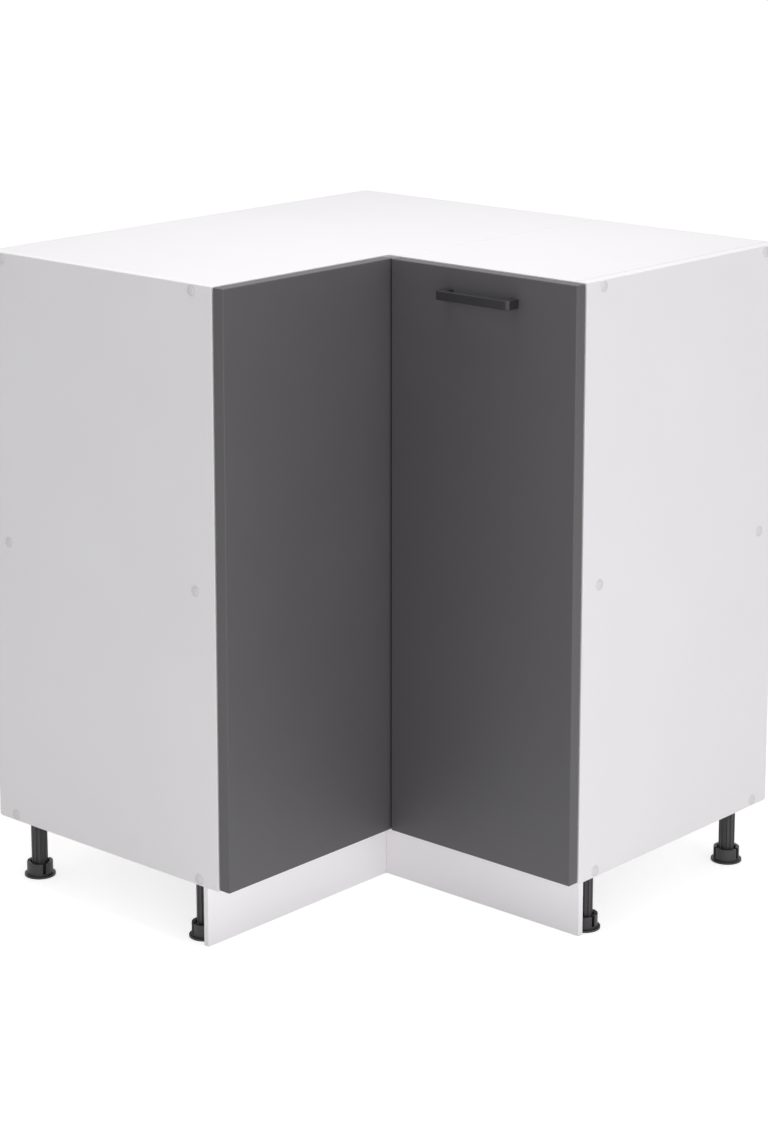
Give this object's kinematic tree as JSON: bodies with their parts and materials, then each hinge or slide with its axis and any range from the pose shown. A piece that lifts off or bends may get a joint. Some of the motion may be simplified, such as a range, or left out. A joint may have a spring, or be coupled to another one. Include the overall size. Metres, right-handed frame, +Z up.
{
  "type": "corner base cabinet",
  "caption": "L-shaped corner kitchen base cabinet: white board carcass with a shelf, grey folding door pair with a black bow handle, white plinth and black levelling legs.",
  "frame": {"origin": "on the floor, at the middle of the square that the cabinet fills in plan", "axes": "+Z up; the walls stand at -X and +Y, and the inner corner of the L opens towards +X and -Y"},
  "size_m": [0.7, 0.7, 0.816],
  "materials": {
    "white_board": "satin white melamine",
    "back_board": "hardboard, white lacquer inside and bare brown behind",
    "white_cap": "satin",
    "zinc_steel": "zinc plated",
    "plain_wood": "bare",
    "black_plastic": "matte",
    "grey_board": "matte grey laminate",
    "hinge_steel": "nickel plated",
    "black_metal": "satin black",
    "clear_buffer": "soft clear"
  },
  "bodies": {
    "carcass": {"left_side_panel": "white_board", "right_side_panel": "white_board", "bottom_long_board": "white_board", "bottom_short_board": "white_board", "shelf_long_board": "white_board", "shelf_short_board": "white_board", "top_long_board": "white_board", "top_short_board": "white_board", "left_plinth": "white_board", "right_plinth": "white_board", "left_back_panel": "back_board", "right_back_panel": "back_board", "left_cover_caps": "white_cap", "right_cover_caps": "white_cap", "left_side_screws": "zinc_steel", "right_side_screws": "zinc_steel", "back_panel_nails": "zinc_steel", "plinth_fixing_screws": "zinc_steel", "plinth_corner_screws": "zinc_steel", "hinge_plate_screws": "zinc_steel", "seam_dowels": "plain_wood", "leg_column_rear_left": "black_plastic", "leg_column_front_left": "black_plastic", "leg_column_inner_corner": "black_plastic", "leg_column_rear_corner": "black_plastic", "leg_column_front_right": "black_plastic", "leg_column_rear_right": "black_plastic", "plinth_clip": "black_plastic", "plinth_blocks": "black_plastic", "hinge_plates": "hinge_steel", "hinge_arms": "hinge_steel", "hinge_arm_pins": "hinge_steel"},
    "hinge_levers": {"hinge_levers": "hinge_steel"},
    "left_leaf": {"left_leaf": "grey_board", "left_leaf_cups": "hinge_steel", "left_leaf_cup_pins": "hinge_steel", "left_leaf_cup_screws": "zinc_steel", "fold_hinge_arms": "hinge_steel", "fold_hinge_screws": "zinc_steel", "fold_hinge_pins": "hinge_steel"},
    "fold_levers": {"fold_hinge_levers": "hinge_steel"},
    "right_leaf": {"right_leaf": "grey_board", "right_leaf_cups": "hinge_steel", "right_leaf_cup_pins": "hinge_steel", "right_leaf_cup_screws": "zinc_steel", "handle": "black_metal", "handle_screws": "zinc_steel", "door_buffers": "clear_buffer"},
    "foot_rear_left": {"leg_foot_rear_left": "black_plastic"},
    "foot_front_left": {"leg_foot_front_left": "black_plastic"},
    "foot_inner_corner": {"leg_foot_inner_corner": "black_plastic"},
    "foot_rear_corner": {"leg_foot_rear_corner": "black_plastic"},
    "foot_front_right": {"leg_foot_front_right": "black_plastic"},
    "foot_rear_right": {"leg_foot_rear_right": "black_plastic"}
  },
  "joints": [
    {"name": "door_swing", "type": "hinge", "parent": "carcass", "child": "hinge_levers", "pos_m": [0.042, -0.316, 0.4505], "axis": [0, 0, 1], "range_deg": [0, 50]},
    {"name": "left_leaf_turn", "type": "hinge", "parent": "hinge_levers", "child": "left_leaf", "pos_m": [0.0483, -0.3373, 0.4505], "axis": [0, 0, -1], "range_deg": [0, 150]},
    {"name": "right_leaf_fold", "type": "hinge", "parent": "left_leaf", "child": "right_leaf", "pos_m": [0.064, -0.0615, 0.4505], "axis": [0, 0, -1], "range_deg": [0, 60]},
    {"name": "fold_lever_turn", "type": "hinge", "parent": "left_leaf", "child": "fold_levers", "pos_m": [0.0414, -0.0633, 0.4505], "axis": [0, 0, -1], "range_deg": [0, 30]},
    {"name": "foot_rear_left_out", "type": "slide", "parent": "carcass", "child": "foot_rear_left", "axis": [0, 0, -1], "range_m": [0, 0.015]},
    {"name": "foot_front_left_out", "type": "slide", "parent": "carcass", "child": "foot_front_left", "axis": [0, 0, -1], "range_m": [0, 0.015]},
    {"name": "foot_inner_corner_out", "type": "slide", "parent": "carcass", "child": "foot_inner_corner", "axis": [0, 0, -1], "range_m": [0, 0.015]},
    {"name": "foot_rear_corner_out", "type": "slide", "parent": "carcass", "child": "foot_rear_corner", "axis": [0, 0, -1], "range_m": [0, 0.015]},
    {"name": "foot_front_right_out", "type": "slide", "parent": "carcass", "child": "foot_front_right", "axis": [0, 0, -1], "range_m": [0, 0.015]},
    {"name": "foot_rear_right_out", "type": "slide", "parent": "carcass", "child": "foot_rear_right", "axis": [0, 0, -1], "range_m": [0, 0.015]}
  ],
  "couplings": [
    {"joint": "left_leaf_turn", "follows": "door_swing", "ratio": 3},
    {"joint": "fold_lever_turn", "follows": "right_leaf_fold", "ratio": 0.5}
  ]
}
